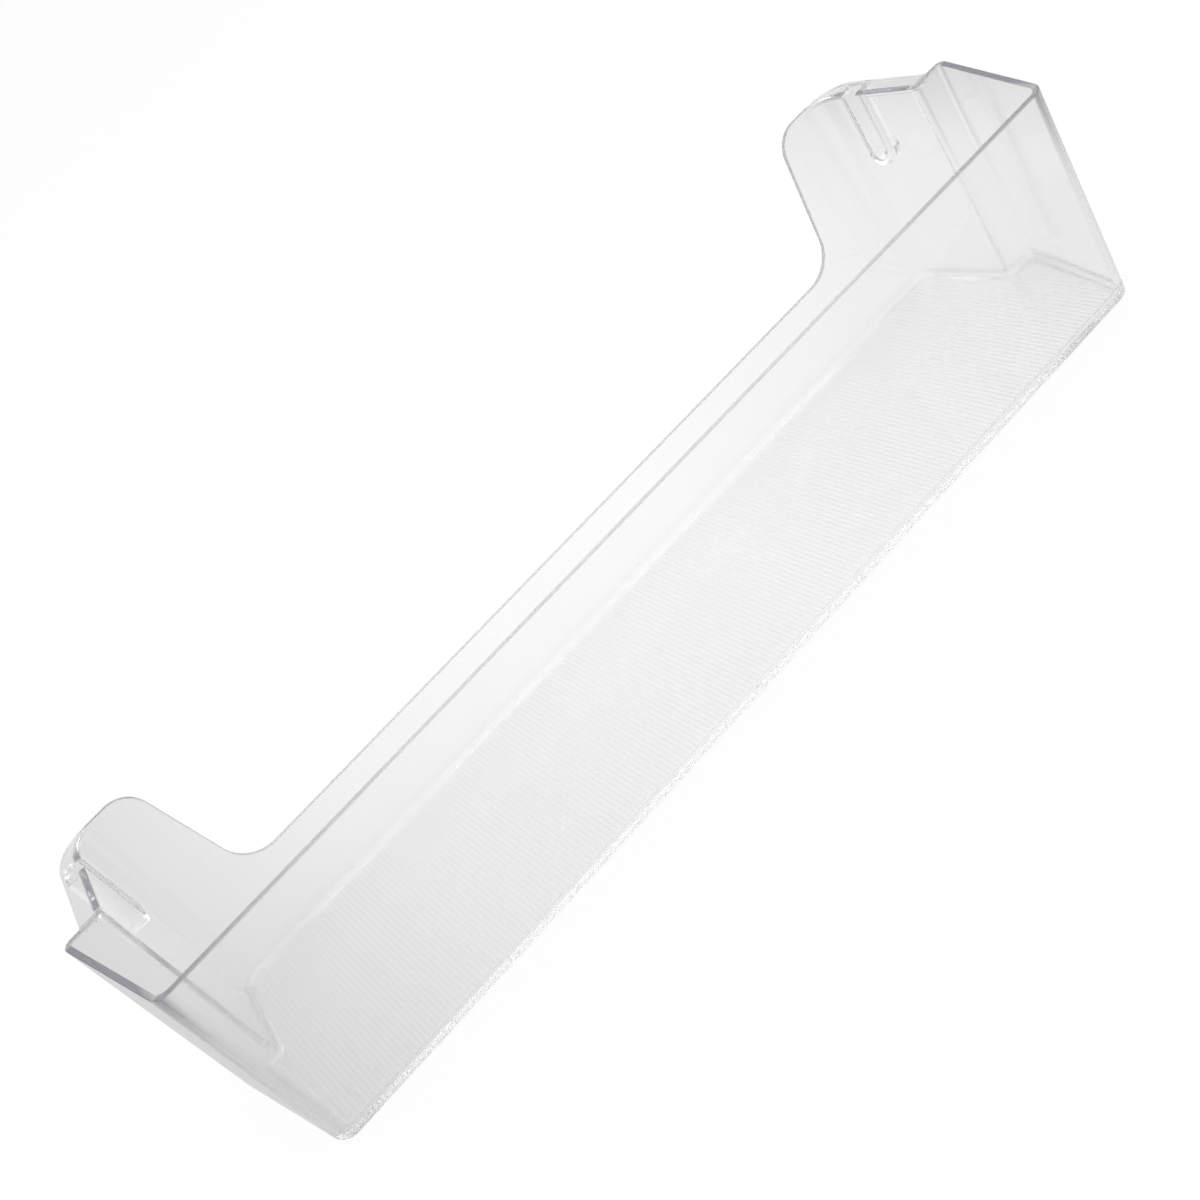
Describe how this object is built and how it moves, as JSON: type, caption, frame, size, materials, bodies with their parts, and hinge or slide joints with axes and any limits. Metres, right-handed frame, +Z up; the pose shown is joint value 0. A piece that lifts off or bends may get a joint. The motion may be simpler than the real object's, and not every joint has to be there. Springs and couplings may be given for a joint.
{
  "type": "fridge door shelf",
  "caption": "Clear plastic fridge door shelf: an open tray with a high front wall, stepped ends, a low back lip between two ears with hanging flanges, and a finely fluted floor.",
  "frame": {"origin": "under the middle of the shelf, on the plane of its underside", "axes": "+X along the length, -Y out of the high front wall and away from the door, +Z up"},
  "size_m": [0.4754, 0.1248, 0.0964],
  "materials": {
    "clear_plastic": "clear, glossy moulded polystyrene with fine flutes under the floor"
  },
  "bodies": {
    "root": {"door_shelf": "clear_plastic"}
  },
  "joints": []
}
